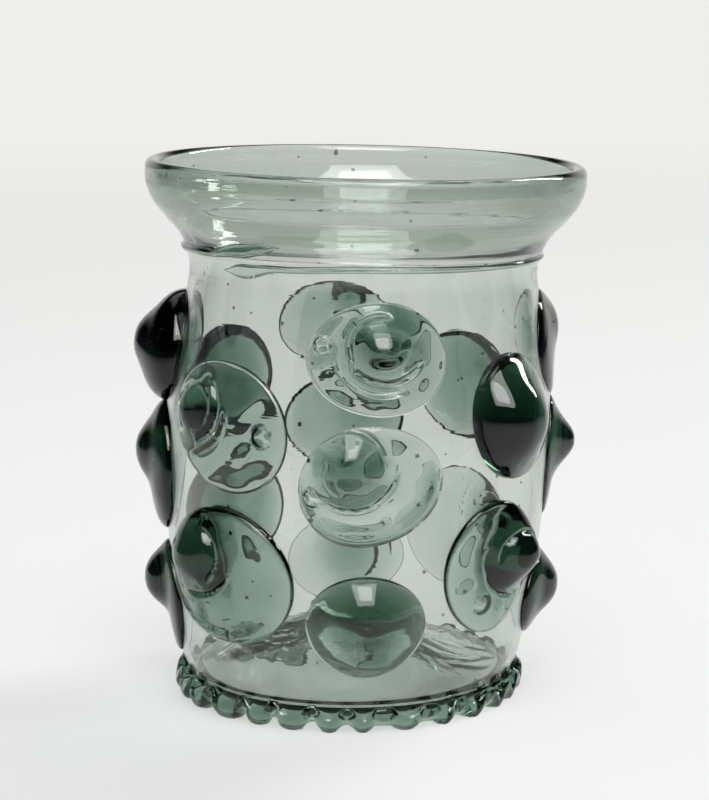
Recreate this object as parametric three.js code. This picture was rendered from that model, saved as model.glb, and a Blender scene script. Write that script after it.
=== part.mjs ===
// Prunted beaker: a free-blown drinking glass with twenty applied drops, a trailed neck and a pinched foot.
// Lengths are millimetres, angles are degrees, +Z is up, and the front of the glass faces -Y.
import * as THREE from "three";
import { mergeVertices } from "three/addons/utils/BufferGeometryUtils.js";

// Radii of the blown body
const rimRadius = 43.1;
const neckRadius = 34.2;
const bellyRadius = 38.3;
const baseRadius = 33.1;
const cornerRadius = 3.1;

// Heights of its stretches, from the table up: under the base, corner to belly, belly to neck, neck to rim, rim to lip
const footLift = 2.4;
const lowerWallHeight = 44.5;
const upperWallHeight = 34.7;
const flareHeight = 17.3;
const rimHeight = 1.6;

// Glass thicknesses, and the kick pushed up into the base
const wallThickness = 1.7;
const lipThickness = 2.8;
const baseThickness = 2.2;
const kickHeight = 12.1;

// Applied drops: how far round the wall one spreads, and how far it stands out
const dropSpreadAngle = 36;
const dropDepth = 3.6;
const dropEdge = 0.5;
const noseLength = 3.6;

// Trail wound round just above the narrowest part of the neck
const trailRise = 3.3;
const trailWidth = 1.3;
const trailDepth = 0.9;

// Pinched trail that makes the foot, worn a little flat where it stands
const lobeCount = 28;
const lobeAngle = -54;
const footWear = 0.22;
const valleyLength = 2.2;

// Hand-made lean of the whole glass, and how its mouth dips to the right
const leanAngle = 1.85;
const rimDip = 1.24;

// Room between a piece and the wall that it sits on
const seatGap = 0.3;

// Faces round the body and along each piece
const bodySides = 48;
const dropSides = 16;
const lobeSteps = 5;
const trailSteps = 56;

// Outer wall as shares: [share of the change of radius, share of the height] from one named ring to the next
const lowerWallShares = [[0.19, 0.075], [0.52, 0.3], [0.79, 0.6]];
const upperWallShares = [[0.93, 0.23], [0.5, 0.58], [0.12, 0.86]];
const flareShares = [[0.08, 0.19], [0.25, 0.376], [0.57, 0.555], [0.84, 0.734], [0.98, 0.913]];
const kickShares = [[0, 1], [0.1, 0.965], [0.26, 0.82], [0.5, 0.52], [0.75, 0.21], [0.92, 0.04]];
const lipThickeningShare = 0.55;

// Height of a full-sized drop, as a share of the wall between the foot and the neck trail
const dropTallShare = 0.28;

// How much of a drop's full depth and nose the ones at the sides reach
const sideReachShare = 0.78;

// Section of the foot trail: [turn round the base corner, share of the lobe length]
const footOuterShares = [[4, 0.2], [-24, 0.5], [lobeAngle, 1], [-72, 0.88], [-90, 0.3]];
const footInnerTurns = [-95, -60, -25, 10];

// Course of the neck trail: [azimuth, height change, width, depth], the last three as shares of the trail's width and depth
const trailCourseShares = [
  [-50, -1.5, 0.5, 0.3], [-40, -1.3, 2.2, 0.6], [-26, -0.5, 1, 0.8], [0, 0, 1, 0.9],
  [90, -0.3, 0.8, 0.8], [180, 0, 0.9, 0.9], [270, 0.3, 1, 1], [306, 0.9, 1.1, 1.3],
  [322, 1.9, 1.9, 2.1], [330, 2.4, 1.6, 1.7], [335, 2.7, 0.4, 0.4],
];

// Drop profile from its nose to its edge: share of the way out for each ring
const dropRingShares = [0.16, 0.32, 0.48, 0.66, 0.84, 0.96, 1];
const seatRingShares = [0.38, 0.72];
const noseWidthShare = 0.3;

// How full the foot's round lobes are between their valleys
const lobeFullnessShare = 0.75;

// Each drop: name, azimuth, then shares: height up the wall, width, height, turn, nose to the side and up, dome, nose
const dropShares = [
  ["front_upper", 4.9, 0.81, 1.13, 0.89, -8, 0.1, 0.2, 1.05, 0.9],
  ["front_middle", 3.7, 0.536, 1.1, 0.96, 14, -0.3, 0.26, 1, 0.7],
  ["front_lower", 4, 0.218, 0.99, 0.84, 0, 0, 0.1, 1.6, 0],
  ["front_left_upper", -41.2, 0.645, 1.26, 0.96, -16, -0.5, 0.2, 1, 1],
  ["front_left_lower", -40.3, 0.311, 1.31, 1.06, -14, -0.42, 0.32, 1, 1],
  ["front_right_upper", 50.1, 0.667, 0.9, 1, 12, 0.1, 0.1, 1.6, 0.15],
  ["front_right_lower", 44.2, 0.328, 0.92, 1.12, 12, 0.44, 0.22, 1.05, 0.9],
  ["left_upper", -94, 0.773, 1.05, 0.88, 0, 0, -0.08, 1.3, 0.75],
  ["left_middle", -90, 0.492, 1, 1.01, 0, 0, 0.27, 0.7, 0.8],
  ["left_lower", -90, 0.187, 1.07, 0.89, 0, 0, 0.32, 0.6, 0.9],
  ["right_upper", 90, 0.798, 1.03, 0.83, 0, 0.1, 0.26, 0.5, 0.35],
  ["right_middle", 90, 0.515, 1, 0.91, 0, 0, 0.4, 0.5, 0.8],
  ["right_lower", 90, 0.188, 1.07, 0.77, 0, 0, 0.2, 0.9, 0.5],
  ["back_upper", -171.5, 0.77, 1.07, 0.81, 6, 0.1, 0.3, 0.9, 0.8],
  ["back_middle", -176, 0.521, 1.08, 0.88, 0, -0.1, 0.2, 1.1, 0.6],
  ["back_lower", -177.5, 0.173, 1.16, 0.75, 0, 0.1, 0.3, 0.8, 0.8],
  ["back_left_upper", -132, 0.645, 1.07, 0.92, 10, 0.1, 0.3, 1.1, 0.7],
  ["back_left_lower", -134.5, 0.318, 1.2, 0.96, -8, 0, 0.28, 0.9, 0.9],
  ["back_right_upper", 142.5, 0.63, 1, 0.98, -10, 0, 0.1, 1.4, 0.2],
  ["back_right_lower", 140, 0.27, 1.17, 1.08, 8, 0.1, 0.3, 0.9, 0.9],
];

const cornerCentre = new THREE.Vector2(baseRadius - cornerRadius, footLift + cornerRadius);
const bellyLevel = cornerCentre.y + lowerWallHeight;
const neckLevel = bellyLevel + upperWallHeight;
const trailLevel = neckLevel + trailRise;
const rimLevel = neckLevel + flareHeight;
const lipCentre = new THREE.Vector2(rimRadius - lipThickness / 2, rimLevel + rimHeight);
const overallHeight = lipCentre.y + lipThickness / 2;
const radians = THREE.MathUtils.degToRad;
const mix = THREE.MathUtils.lerp;

// Points between two rings of the wall, from their shares
function between(lowRadius, highRadius, lowHeight, highHeight, shares) {
  return shares.map(([radiusShare, heightShare]) => new THREE.Vector2(
    mix(lowRadius, highRadius, radiusShare),
    mix(lowHeight, highHeight, heightShare),
  ));
}

// Smooth line through points of a profile, with a given count of steps from each to the next
function smoothLine(points, steps) {
  const knots = points.map((p) => new THREE.Vector3(p.x, p.y, 0));
  const curve = new THREE.CatmullRomCurve3(knots, false, "centripetal");
  return curve.getPoints(steps * (points.length - 1)).map((p) => new THREE.Vector2(p.x, p.y));
}

// Arc of a profile round a centre
function arc(centre, radius, startTurn, endTurn, steps) {
  const points = [];
  for (let i = 0; i <= steps; i += 1) {
    const turn = radians(mix(startTurn, endTurn, i / steps));
    points.push(new THREE.Vector2(centre.x + radius * Math.cos(turn), centre.y + radius * Math.sin(turn)));
  }
  return points;
}

// Outside of the wall, from the base corner to where the lip rounds over
function wallLine() {
  const low = between(baseRadius, bellyRadius, cornerCentre.y, bellyLevel, lowerWallShares);
  const high = between(neckRadius, bellyRadius, bellyLevel, neckLevel, upperWallShares);
  const flare = between(neckRadius, rimRadius, neckLevel, rimLevel, flareShares);
  const rings = [
    new THREE.Vector2(baseRadius, cornerCentre.y), ...low,
    new THREE.Vector2(bellyRadius, bellyLevel), ...high,
    new THREE.Vector2(neckRadius, neckLevel), ...flare,
    new THREE.Vector2(rimRadius, rimLevel), new THREE.Vector2(rimRadius, lipCentre.y),
  ];
  return smoothLine(rings, 1);
}

const wall = wallLine();

// Radius and outward slope of the wall at a height, read from the same line that the body is turned from
function wallAt(height) {
  const i = THREE.MathUtils.clamp(wall.findLastIndex((p) => p.y <= height), 0, wall.length - 2);
  const [low, high] = [wall[i], wall[i + 1]];
  const share = (height - low.y) / (high.y - low.y);
  const slope = high.clone().sub(low).normalize();
  return { radius: mix(low.x, high.x, share), normal: new THREE.Vector2(slope.y, -slope.x) };
}

// Place on the glass at an azimuth and height, standing off the wall along its slope
function onWall(azimuth, height, standOff) {
  const { radius, normal } = wallAt(height);
  return roundTheAxis(azimuth, radius + normal.x * standOff, height + normal.y * standOff);
}

// Place at an azimuth, radius and height; azimuth 0 is the front and 90 the right-hand side
function roundTheAxis(azimuth, radius, height) {
  const turn = radians(azimuth);
  return new THREE.Vector3(radius * Math.sin(turn), -radius * Math.cos(turn), height);
}

// Line shifted to its left-hand side by a thickness that may change along it
function shifted(line, thicknessAt) {
  return line.map((p, i) => {
    const before = line[Math.max(i - 1, 0)];
    const after = line[Math.min(i + 1, line.length - 1)];
    const along = after.clone().sub(before).normalize();
    const thickness = thicknessAt(p);
    return new THREE.Vector2(Math.max(p.x - along.y * thickness, 0), p.y + along.x * thickness);
  });
}

// Thickness of the glass behind a point of the outside: thick under the kick, thin in the wall, thick at the lip
function thicknessAt(point) {
  const towardLip = THREE.MathUtils.smoothstep(
    point.y, mix(neckLevel, overallHeight, 1 - lipThickeningShare), lipCentre.y);
  const towardWall = THREE.MathUtils.smoothstep(point.x, cornerCentre.x, baseRadius);
  return mix(mix(baseThickness, wallThickness, towardWall), lipThickness, towardLip);
}

// The blown body: wall, rounded lip and pushed-up base, turned from one closed profile
function bodyGeometry() {
  const kick = between(0, cornerCentre.x, footLift, footLift + kickHeight, kickShares);
  const corner = arc(cornerCentre, cornerRadius, -90, 0, 4);
  const outside = [...kick, ...corner, ...wall.slice(1)];
  const inside = shifted(outside, thicknessAt).reverse();
  inside[inside.length - 1].x = 0;
  const lip = arc(lipCentre, lipThickness / 2, 0, 180, 4).slice(1, -1);
  const turned = new THREE.LatheGeometry([...outside, ...lip, ...inside], bodySides);
  return turned.rotateX(Math.PI / 2);
}

// Closed skin through rings of points: the rings join in order, and caps are fans at both ends
function skin(rings, ends) {
  const points = [];
  const faces = [];
  const sides = rings[0].length;
  rings.forEach((ring) => points.push(...ring));
  const at = (ring, side) => ring * sides + (side % sides);
  for (let ring = 0; ring + 1 < rings.length; ring += 1) {
    for (let side = 0; side < sides; side += 1) {
      faces.push(at(ring, side), at(ring, side + 1), at(ring + 1, side + 1));
      faces.push(at(ring, side), at(ring + 1, side + 1), at(ring + 1, side));
    }
  }
  if (ends) {
    const [first, last] = [points.length, points.length + 1];
    points.push(ends[0], ends[1]);
    for (let side = 0; side < sides; side += 1) {
      faces.push(first, at(0, side + 1), at(0, side));
      faces.push(last, at(rings.length - 1, side), at(rings.length - 1, side + 1));
    }
  }
  const geometry = new THREE.BufferGeometry().setFromPoints(points);
  geometry.setIndex(faces);
  return mergeVertices(geometry);
}

// Height of a drop over the wall, at a share of the way from its nose to its edge
function dropHeight(share, domeShare, noseShare) {
  const dome = dropDepth * domeShare * Math.sqrt(1 - share * share);
  const nose = noseLength * noseShare * Math.exp(-((share / noseWidthShare) ** 2));
  return dropEdge + dome + nose;
}

// One applied drop: a dome drawn out to a nose, lying on the curved wall
function dropGeometry([azimuth, heightShare, widthShare, tallShare, turn, sideShare, upShare, domeShare, noseShare]) {
  const centre = mix(footLift, trailLevel, heightShare);
  const { radius } = wallAt(centre);
  const tall = (trailLevel - footLift) * dropTallShare * tallShare;
  const half = new THREE.Vector2(radius * radians(dropSpreadAngle * widthShare), tall).multiplyScalar(0.5);
  const nose = new THREE.Vector2(half.x * sideShare, half.y * upShare);
  const degreesPerLength = THREE.MathUtils.radToDeg(1) / radius;
  const place = (flat, standOff) => (
    onWall(azimuth + flat.x * degreesPerLength, centre + flat.y, seatGap + standOff));
  const outline = [];
  for (let i = 0; i < dropSides; i += 1) {
    const around = (2 * Math.PI * i) / dropSides;
    const flat = new THREE.Vector2(half.x * Math.cos(around), half.y * Math.sin(around));
    outline.push(flat.rotateAround(new THREE.Vector2(), radians(turn)));
  }
  const ringAt = (share, standOff) => outline.map((edge) => (
    place(nose.clone().lerp(edge, share), standOff)));
  const seat = [...seatRingShares, 1].map((share) => ringAt(share, 0));
  const top = dropRingShares.map((share) => ringAt(share, dropHeight(share, domeShare, noseShare)));
  const tip = place(nose, dropHeight(0, domeShare, noseShare));
  return skin([...seat, ...top.reverse()], [place(nose, 0), tip]);
}

// Height, half width and depth of the neck trail at an azimuth along its course
function trailAt(azimuth) {
  const last = trailCourseShares.length - 2;
  const i = Math.min(trailCourseShares.findLastIndex((station) => station[0] <= azimuth), last);
  const [from, to] = [trailCourseShares[i], trailCourseShares[i + 1]];
  const share = THREE.MathUtils.smoothstep(azimuth, from[0], to[0]);
  return {
    height: trailLevel + trailWidth * mix(from[1], to[1], share),
    half: trailWidth * mix(from[2], to[2], share) / 2,
    depth: trailDepth * mix(from[3], to[3], share),
  };
}

// The neck trail: one turn of drawn glass whose thick tail lies over its thin start
function trailGeometry() {
  const start = trailCourseShares[0][0];
  const end = trailCourseShares[trailCourseShares.length - 1][0];
  const sectionShares = [[1, 0], [0.75, 0.7], [0, 1], [-0.75, 0.7], [-1, 0], [0, 0]];
  const rings = [];
  for (let i = 0; i <= trailSteps; i += 1) {
    const azimuth = mix(start, end, i / trailSteps);
    const { height, half, depth } = trailAt(azimuth);
    rings.push(sectionShares.map(([up, out]) => (
      onWall(azimuth, height + half * up, seatGap + depth * out))));
  }
  const ends = [start, end].map((azimuth) => {
    const { height, depth } = trailAt(azimuth);
    return onWall(azimuth, height, seatGap + depth / 2);
  });
  return skin(rings, ends);
}

// How far out the foot's trail is drawn at a step: 1 at the middle of a lobe and 0 in the valley between two
function lobeRoundness(step) {
  const across = ((step % lobeSteps) / lobeSteps - 0.5) * Math.PI;
  return Math.cos(across) ** lobeFullnessShare;
}

// The pinched foot: a trail under the base corner, its lobes cut flat where they stand
function footGeometry() {
  const seatRadius = cornerRadius + seatGap;
  const lobeLength = (cornerCentre.y + footWear) / Math.sin(radians(-lobeAngle)) - seatRadius;
  const rings = [];
  const steps = lobeCount * lobeSteps;
  for (let step = 0; step <= steps; step += 1) {
    const azimuth = (360 * (step % steps)) / steps;
    const lobe = mix(valleyLength, lobeLength, lobeRoundness(step));
    const inner = footInnerTurns.map((turn) => [turn, 0]);
    rings.push([...inner, ...footOuterShares].map(([turn, share]) => {
      const reach = seatRadius + lobe * share;
      const radius = cornerCentre.x + reach * Math.cos(radians(turn));
      const height = cornerCentre.y + reach * Math.sin(radians(turn));
      return roundTheAxis(azimuth, radius, Math.max(height, 0));
    }));
  }
  return skin(rings);
}

// Leans a geometry as the hand-made glass leans, and sets the middle of its box over the origin
function leaned(geometry) {
  const lean = Math.tan(radians(leanAngle));
  const dip = Math.tan(radians(rimDip)) / overallHeight;
  const rightReach = rimRadius + rimLevel * lean;
  const leftReach = bellyRadius + (dropDepth + noseLength) * sideReachShare - bellyLevel * lean;
  const middle = (rightReach - leftReach) / 2;
  const positions = geometry.getAttribute("position");
  for (let i = 0; i < positions.count; i += 1) {
    const [x, z] = [positions.getX(i), positions.getZ(i)];
    positions.setX(i, x + z * lean - middle);
    positions.setZ(i, z - x * z * dip);
  }
  geometry.computeVertexNormals();
  return geometry;
}

const clearGlass = { color: "#b9c9c1", roughness: 0.04, metalness: 0, transparent: true, opacity: 0.4 };
const dropGlass = { color: "#5f8f7c", roughness: 0.04, metalness: 0, transparent: true, opacity: 0.7 };
const trailGlass = { color: "#7fa392", roughness: 0.04, metalness: 0, transparent: true, opacity: 0.7 };

// A named mesh with its own glass
function piece(name, geometry, glass) {
  const mesh = new THREE.Mesh(leaned(geometry), new THREE.MeshStandardMaterial(glass));
  mesh.name = name;
  return mesh;
}

const beaker = new THREE.Group();
beaker.add(piece("beaker_body", bodyGeometry(), clearGlass));
beaker.add(piece("neck_trail", trailGeometry(), trailGlass));
beaker.add(piece("pinched_foot", footGeometry(), trailGlass));
for (const [place, ...shares] of dropShares) {
  beaker.add(piece(`prunt_${place}`, dropGeometry(shares), dropGlass));
}

export default beaker;
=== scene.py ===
"""Looks of a prunted beaker: clear grey-green glass with applied drops, a neck trail and a pinched foot."""

import logging
import math
from dataclasses import dataclass, field
from enum import Enum
from typing import Callable, Iterable

import bpy
import numpy as np
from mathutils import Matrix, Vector

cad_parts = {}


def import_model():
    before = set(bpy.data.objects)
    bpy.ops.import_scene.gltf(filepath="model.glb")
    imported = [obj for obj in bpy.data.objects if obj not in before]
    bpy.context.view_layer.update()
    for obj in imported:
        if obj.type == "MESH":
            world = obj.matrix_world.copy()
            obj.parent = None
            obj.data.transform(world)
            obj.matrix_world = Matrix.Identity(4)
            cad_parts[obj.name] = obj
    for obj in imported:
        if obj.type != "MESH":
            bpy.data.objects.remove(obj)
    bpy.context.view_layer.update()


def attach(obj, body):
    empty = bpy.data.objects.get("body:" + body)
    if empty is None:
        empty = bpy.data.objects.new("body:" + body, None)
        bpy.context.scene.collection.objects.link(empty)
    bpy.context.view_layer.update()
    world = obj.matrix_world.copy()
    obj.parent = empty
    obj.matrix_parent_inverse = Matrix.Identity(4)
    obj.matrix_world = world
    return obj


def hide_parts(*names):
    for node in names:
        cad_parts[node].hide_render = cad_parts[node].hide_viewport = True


LOG = logging.getLogger("prunted_beaker")
MM = 0.001
MERGE_DISTANCE = 1e-6
Array = np.ndarray
Piece = bpy.types.Object
Socket = bpy.types.NodeSocket
Outputs = bpy.types.NodeOutputs
SPAN = tuple[float, float]
SECTION = tuple[float, float]
WAVE = tuple[float, float, float]
COLOUR = tuple[float, float, float]
# The two ends of a ramp that rises or falls over its span
RISE: SPAN = (0.0, 1.0)
FALL: SPAN = (1.0, 0.0)

WHITE: COLOUR = (1.0, 1.0, 1.0)
BLACK: COLOUR = (0.0, 0.0, 0.0)
SURFACE_INPUTS = ("Cords", "Seeds", "Specks", "Dust", "Gloss")


class Slot(Enum):
    """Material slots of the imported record."""

    WALL = "wall_glass"
    DROP = "drop_glass"
    TRAIL = "trail_glass"


# Helpers for meshes


def start_clean() -> None:
    """Leaves edit mode, if any, and deselects every object."""
    if bpy.context.object and bpy.context.object.mode != "OBJECT":
        bpy.ops.object.mode_set(mode="OBJECT")
    bpy.ops.object.select_all(action="DESELECT")


def name_active(name: str) -> Piece:
    """Names the active object and its mesh alike, and returns the object."""
    made = bpy.context.object
    made.name = name
    made.data.name = name
    return made


def close_and_smooth(piece: Piece, crease_angle: float) -> None:
    """Merges doubles, turns the faces outwards and shades the piece smooth up to an angle.

    Args:
        piece: Closed mesh to finish.
        crease_angle: Angle in degrees above which an edge stays sharp.
    """
    start_clean()
    piece.select_set(True)
    bpy.context.view_layer.objects.active = piece
    bpy.ops.object.mode_set(mode="EDIT")
    bpy.ops.mesh.select_all(action="SELECT")
    bpy.ops.mesh.remove_doubles(threshold=MERGE_DISTANCE)
    bpy.ops.mesh.normals_make_consistent(inside=False)
    bpy.ops.object.mode_set(mode="OBJECT")
    bpy.ops.object.shade_smooth_by_angle(angle=math.radians(crease_angle))


def reshape(piece: Piece, shape: Callable[[Array], Array]) -> None:
    """Moves every vertex of a mesh to where a shape puts it.

    Args:
        piece: Mesh to change.
        shape: Turns an array of places in metres into the new places.
    """
    points = np.empty(len(piece.data.vertices) * 3)
    piece.data.vertices.foreach_get("co", points)
    points = shape(points.reshape(-1, 3))
    piece.data.vertices.foreach_set("co", points.ravel())
    piece.data.update()


def shape_active(name: str, shape: Callable[[Array], Array], crease_angle: float) -> Piece:
    """Names the active object, shapes it and finishes it.

    Args:
        name: Name for the object and its mesh.
        shape: Turns places in millimetres into the new places in metres.
        crease_angle: Angle in degrees above which an edge stays sharp.

    Returns:
        The piece.
    """
    piece = name_active(name)
    reshape(piece, lambda points: shape(points / MM))
    close_and_smooth(piece, crease_angle)
    return piece


def smooth_line(knots: list[SECTION] | Array, steps: int) -> list[SECTION]:
    """Draws a centripetal curve through the knots of a profile, on which no two knots fall together.

    Args:
        knots: Points of the profile, radius and height.
        steps: Points drawn from each knot to the next.

    Returns:
        Points of the curve, both ends included.
    """
    p = np.array(knots, float)
    p = np.vstack([2 * p[0] - p[1], p, 2 * p[-1] - p[-2]])
    line: list[SECTION] = []
    for i in range(1, len(p) - 2):
        t = [0.0]
        for k in (i - 1, i, i + 1):
            t.append(t[-1] + math.sqrt(float(np.linalg.norm(p[k + 1] - p[k]))))
        for step in range(steps):
            u = t[1] + (t[2] - t[1]) * step / steps
            a = [((t[k + 1] - u) * p[i + k - 1] + (u - t[k]) * p[i + k]) / (t[k + 1] - t[k])
                 for k in range(3)]
            b = [((t[k + 2] - u) * a[k] + (u - t[k]) * a[k + 1]) / (t[k + 2] - t[k]) for k in range(2)]
            across, up = ((t[2] - u) * b[0] + (u - t[1]) * b[1]) / (t[2] - t[1])
            line.append((float(across), float(up)))
    return line + [(float(p[-2][0]), float(p[-2][1]))]


def smooth_step(low: float, high: float, value: Array) -> Array:
    """Runs smoothly from 0 at low to 1 at high."""
    share = np.clip((value - low) / (high - low), 0, 1)
    return share * share * (3 - 2 * share)


def waves(turn: Array, table: Iterable[WAVE]) -> Array:
    """Adds up sine waves over a turn, each given by its height, its count in a full turn and its start."""
    return sum(height * np.sin(count * turn + start) for height, count, start in table)


def mix(ends: tuple, share: Array) -> Array:
    """Returns sizes between two ends."""
    return ends[0] + (ends[1] - ends[0]) * share


# The form of the glass


@dataclass
class Wall:
    """Outside of the blown wall, with its hand-made lean, which every applied piece is laid on.

    All sizes are millimetres, angles are degrees, and azimuth 0 is the front.
    """

    rim_radius: float = 43.1
    neck_radius: float = 34.2
    belly_radius: float = 38.3
    base_radius: float = 33.1
    corner_radius: float = 3.1
    corner_level: float = 5.5
    belly_level: float = 50.0
    neck_level: float = 84.7
    rim_level: float = 102.0
    lip_level: float = 103.6
    overall_height: float = 105.0
    lean_angle: float = 1.85
    rim_dip: float = 1.24
    axis_shift: float = 2.05
    wobble: float = 0.16
    wobble_start: SPAN = (2.0, 16.0)
    wobble_waves: tuple[WAVE, ...] = ((1.0, 2, 0.7), (0.6, 3, 0.0), (0.4, 5, 0.0))
    wobble_twists: tuple[float, ...] = (0.0, 1 / 21, -1 / 13)
    knot_steps: int = 6
    slope_step: float = 0.5
    line: Array = field(init=False)

    def __post_init__(self) -> None:
        """Draws the wall's line once."""
        self.line = np.array(smooth_line(self.knots(), self.knot_steps))

    @property
    def corner_start(self) -> float:
        """Radius at which the flat of the base turns up into the corner."""
        return self.base_radius - self.corner_radius

    def knots(self) -> list[SECTION]:
        """Returns the rings that the wall runs through, from the base corner to the lip."""
        low = [(0.19, 0.075), (0.52, 0.3), (0.79, 0.6)]
        high = [(0.93, 0.23), (0.5, 0.58), (0.12, 0.86)]
        flare = [(0.08, 0.19), (0.25, 0.376), (0.57, 0.555), (0.84, 0.734), (0.98, 0.913)]
        rings = [(self.base_radius, self.corner_level)]
        rings += self.between(self.base_radius, self.belly_radius, self.corner_level, self.belly_level, low)
        rings.append((self.belly_radius, self.belly_level))
        rings += self.between(self.neck_radius, self.belly_radius, self.belly_level, self.neck_level, high)
        rings.append((self.neck_radius, self.neck_level))
        rings += self.between(self.neck_radius, self.rim_radius, self.neck_level, self.rim_level, flare)
        return rings + [(self.rim_radius, self.rim_level), (self.rim_radius, self.lip_level)]

    @staticmethod
    def between(r0: float, r1: float, z0: float, z1: float, shares: list[SECTION]) -> list[SECTION]:
        """Returns points between two rings from their shares of the radius and the height."""
        return [(r0 + (r1 - r0) * r, z0 + (z1 - z0) * z) for r, z in shares]

    def radius(self, height: Array) -> Array:
        """Returns the radius of the wall at each height."""
        return np.interp(height, self.line[:, 1], self.line[:, 0])

    def slope(self, height: Array) -> Array:
        """Returns how the radius changes with the height, at each height."""
        above, below = self.radius(height + self.slope_step), self.radius(height - self.slope_step)
        return (above - below) / (2 * self.slope_step)

    def unround(self, azimuth: Array, height: Array) -> Array:
        """Returns how far the hand-blown wall stands off a true circle at each place."""
        table = [(share, count, start + twist * height)
                 for (share, count, start), twist in zip(self.wobble_waves, self.wobble_twists)]
        return self.wobble * waves(np.radians(azimuth), table) * smooth_step(*self.wobble_start, height)

    def stand_off(self, azimuth: Array, height: Array, lift: Array) -> Array:
        """Places points on the wall.

        Args:
            azimuth: Turn from the front, positive to the right.
            height: Height on the wall.
            lift: How far each point stands off the wall, along its slope.

        Returns:
            Places in metres, with the lean of the glass.
        """
        slope = self.slope(height)
        flat = 1 / np.sqrt(1 + slope * slope)
        radius = self.radius(height) + self.unround(azimuth, height) + lift * flat
        return self.lean(self.cylindrical(azimuth, radius, height - lift * slope * flat))

    @staticmethod
    def cylindrical(azimuth: Array, radius: Array, height: Array) -> Array:
        """Returns places in millimetres from azimuths, radii and heights."""
        turn = np.radians(azimuth)
        return np.stack([radius * np.sin(turn), -radius * np.cos(turn), height + 0 * turn], axis=-1)

    def lean(self, points: Array) -> Array:
        """Leans places in millimetres as the whole glass leans, and returns them in metres."""
        x, y, z = points[:, 0], points[:, 1], points[:, 2]
        leaned = x + z * math.tan(math.radians(self.lean_angle)) - self.axis_shift
        dipped = z - x * z * math.tan(math.radians(self.rim_dip)) / self.overall_height
        return np.stack([leaned, y, dipped], axis=-1) * MM


@dataclass
class BeakerBody:
    """The blown body: wall, round lip and pushed-up base, spun from one closed profile."""

    wall: Wall
    wall_thickness: float = 1.2
    lip_thickness: float = 3.1
    base_thickness: float = 2.8
    foot_lift: float = 2.4
    kick_height: float = 7.4
    kick_thickening: float = 1.9
    kick_tilt: float = 0.1
    lip_start: float = 2.4
    lip_reach: float = 8.8
    sides: int = 216
    kick_shares: tuple[SECTION, ...] = (
        (0, 1), (0.1, 0.965), (0.26, 0.83), (0.5, 0.5), (0.75, 0.19), (0.92, 0.04), (1, 0))
    kick_steps: int = 5
    corner_points: int = 8
    lip_points: int = 12
    wobble_share: float = 0.6
    tilt_share: float = 0.5
    crease_angle: float = 60.0

    def outline(self) -> list[SECTION]:
        """Returns the outside of the section, from under the kick to the lip."""
        wall = self.wall
        kick = np.array(self.kick_shares) * (wall.corner_start, self.kick_height) + (0, self.foot_lift)
        kick = smooth_line(kick, self.kick_steps)
        turns = np.linspace(-90, 0, self.corner_points)
        corner = self.arc(wall.corner_start, wall.corner_level, wall.corner_radius, turns)
        return kick[:-1] + corner + [tuple(p) for p in wall.line[1:]]

    @staticmethod
    def arc(across: float, up: float, size: float, turns: Array) -> list[SECTION]:
        """Returns points of a round in the section, from its centre, its own radius and its turns."""
        return [(across + size * math.cos(turn), up + size * math.sin(turn)) for turn in np.radians(turns)]

    def thickness(self, outside: Array) -> Array:
        """Returns the thickness of the glass behind each point of the outside."""
        wall = self.wall
        toward_wall = smooth_step(wall.corner_start, wall.base_radius, outside[:, 0])
        start = wall.neck_level + self.lip_start
        toward_lip = smooth_step(start, start + self.lip_reach, outside[:, 1])
        toward_top = smooth_step(wall.corner_start, 0, outside[:, 0])
        base = self.base_thickness + self.kick_thickening * toward_top
        base = base + (self.wall_thickness - base) * toward_wall
        return base + (self.lip_thickness - base) * toward_lip

    def section(self) -> list[SECTION]:
        """Returns the whole profile, from the axis under the base round the lip to the axis inside."""
        outside = np.array(self.outline())
        along = np.gradient(outside, axis=0)
        along /= np.linalg.norm(along, axis=1)[:, None]
        inside = outside + np.stack([-along[:, 1], along[:, 0]], axis=1) * self.thickness(outside)[:, None]
        inside[0, 0] = 0
        inside[:, 0] = np.maximum(inside[:, 0], 0)
        half = self.lip_thickness / 2
        turns = np.linspace(0, 180, self.lip_points)[1:-1]
        lip = self.arc(self.wall.rim_radius - half, self.wall.lip_level, half, turns)
        return [tuple(p) for p in outside] + lip + [tuple(p) for p in inside[::-1]]

    def build(self) -> Piece:
        """Extrudes the profile point by point, spins it to a closed mesh and leans it."""
        points = [Vector((radius * MM, 0, height * MM)) for radius, height in self.section()]
        start_clean()
        bpy.ops.mesh.primitive_plane_add(size=MM, location=(0, 0, 0))
        body = name_active("glass_body")
        bpy.ops.object.mode_set(mode="EDIT")
        bpy.ops.mesh.select_all(action="SELECT")
        bpy.ops.mesh.merge(type="CENTER")
        bpy.ops.transform.translate(value=points[0])
        for last, point in zip(points, points[1:]):
            bpy.ops.mesh.extrude_region_move(TRANSFORM_OT_translate={"value": point - last})
        bpy.ops.mesh.select_all(action="SELECT")
        bpy.ops.mesh.spin(steps=self.sides, angle=2 * math.pi, center=(0, 0, 0), axis=(0, 0, 1))
        bpy.ops.object.mode_set(mode="OBJECT")
        close_and_smooth(body, self.crease_angle)
        reshape(body, self.unround)
        return body

    def unround(self, points: Array) -> Array:
        """Gives the spun body the wobble and lean of the wall, and tilts the kick."""
        wall = self.wall
        x, y, z = points.T / MM
        radius = np.hypot(x, y)
        azimuth = np.degrees(np.arctan2(x, -y))
        share = smooth_step(wall.base_radius * self.wobble_share, wall.base_radius, radius)
        radius = radius + wall.unround(azimuth, z) * share
        on_kick = smooth_step(wall.corner_start, wall.base_radius * self.tilt_share, radius)
        z = z - self.kick_tilt * x * on_kick * (z < wall.belly_level)
        return wall.lean(wall.cylindrical(azimuth, radius, z))


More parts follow.
